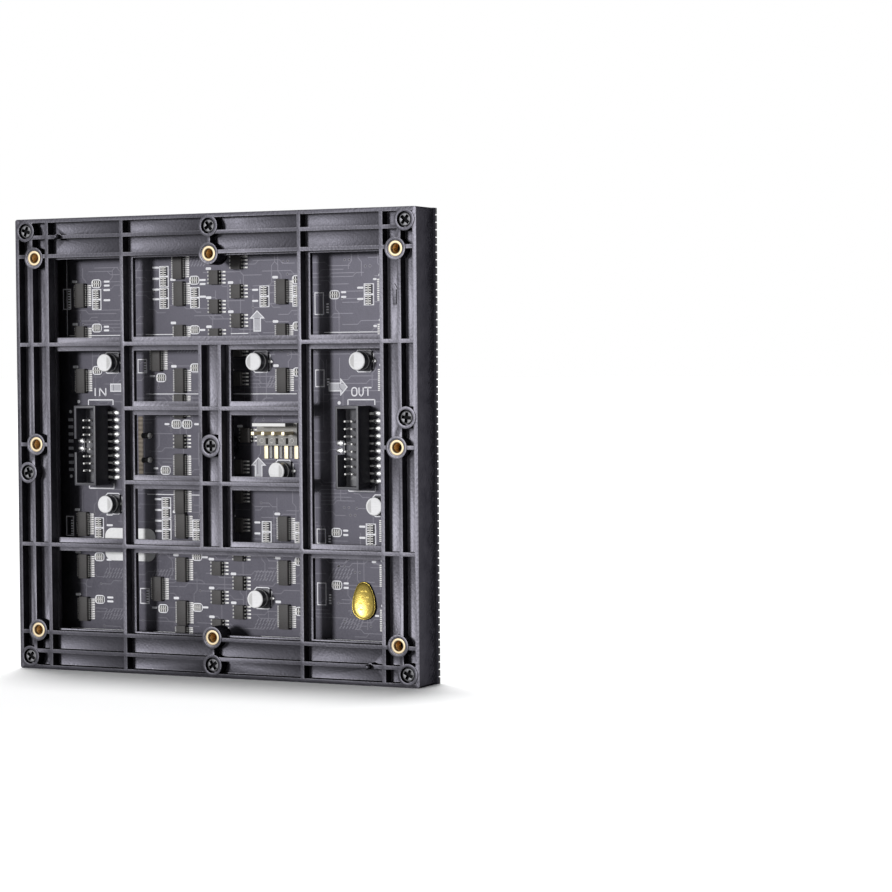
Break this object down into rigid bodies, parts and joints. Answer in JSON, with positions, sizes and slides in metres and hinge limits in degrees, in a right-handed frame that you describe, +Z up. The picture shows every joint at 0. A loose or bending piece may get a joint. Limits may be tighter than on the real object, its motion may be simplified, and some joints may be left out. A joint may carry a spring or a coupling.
{
  "type": "led display module",
  "caption": "Square LED display tile: a pixel matrix on a circuit board, driver electronics behind it and a ribbed rear frame with threaded inserts for fixing it into a display.",
  "frame": {"origin": "middle of the tile's lower edge, halfway through its depth, on the surface that it stands on", "axes": "+Z up, +Y towards the rear of the tile, so that the LEDs face -Y"},
  "size_m": [0.1596, 0.0182, 0.1596],
  "materials": {
    "frame_plastic": "matt black moulded plastic, fine grain",
    "brass_insert": "turned brass",
    "black_screw": "black zinc",
    "tin_plate": "tinned steel",
    "black_board": "black solder mask on glass fibre",
    "led_body": "black LED housings with pale lenses",
    "header_plastic": "black moulded plastic",
    "tin_pin": "bright tin plate",
    "ivory_plastic": "ivory nylon",
    "power_pin": "tinned brass",
    "capacitor_can": "drawn aluminium",
    "capacitor_base": "black moulded plastic",
    "chip_body": "black epoxy",
    "chip_lead": "tin-plated leads",
    "array_body": "black glaze on ceramic",
    "diode_metal": "tinned end caps",
    "bus_tin": "dull tin",
    "gold_seal": "embossed gold foil",
    "white_label": "white paper"
  },
  "bodies": {
    "root": {"frame": "frame_plastic", "insert_nuts": "brass_insert", "frame_screws": "black_screw", "board_nuts": "tin_plate", "circuit_board": "black_board", "led_rows": "led_body", "data_in_shroud": "header_plastic", "data_in_pins": "tin_pin", "data_out_shroud": "header_plastic", "data_out_pins": "tin_pin", "power_housing": "ivory_plastic", "power_pins": "power_pin", "capacitor_1_can": "capacitor_can", "capacitor_2_can": "capacitor_can", "capacitor_3_can": "capacitor_can", "capacitor_4_can": "capacitor_can", "capacitor_5_can": "capacitor_can", "capacitor_6_can": "capacitor_can", "capacitor_7_can": "capacitor_can", "capacitor_1_base": "capacitor_base", "capacitor_2_base": "capacitor_base", "capacitor_3_base": "capacitor_base", "capacitor_4_base": "capacitor_base", "capacitor_5_base": "capacitor_base", "capacitor_6_base": "capacitor_base", "capacitor_7_base": "capacitor_base", "capacitor_tabs": "tin_plate", "driver_chips_1": "chip_body", "driver_chips_2": "chip_body", "driver_chips_3": "chip_body", "driver_chips_4": "chip_body", "row_switches_left": "chip_body", "row_switches_right": "chip_body", "logic_chips": "chip_body", "driver_leads": "chip_lead", "switch_leads": "chip_lead", "logic_leads": "chip_lead", "resistor_arrays": "array_body", "line_diodes": "diode_metal", "power_bus": "bus_tin", "seal_sticker": "gold_seal", "blank_label": "white_label"}
  },
  "joints": []
}
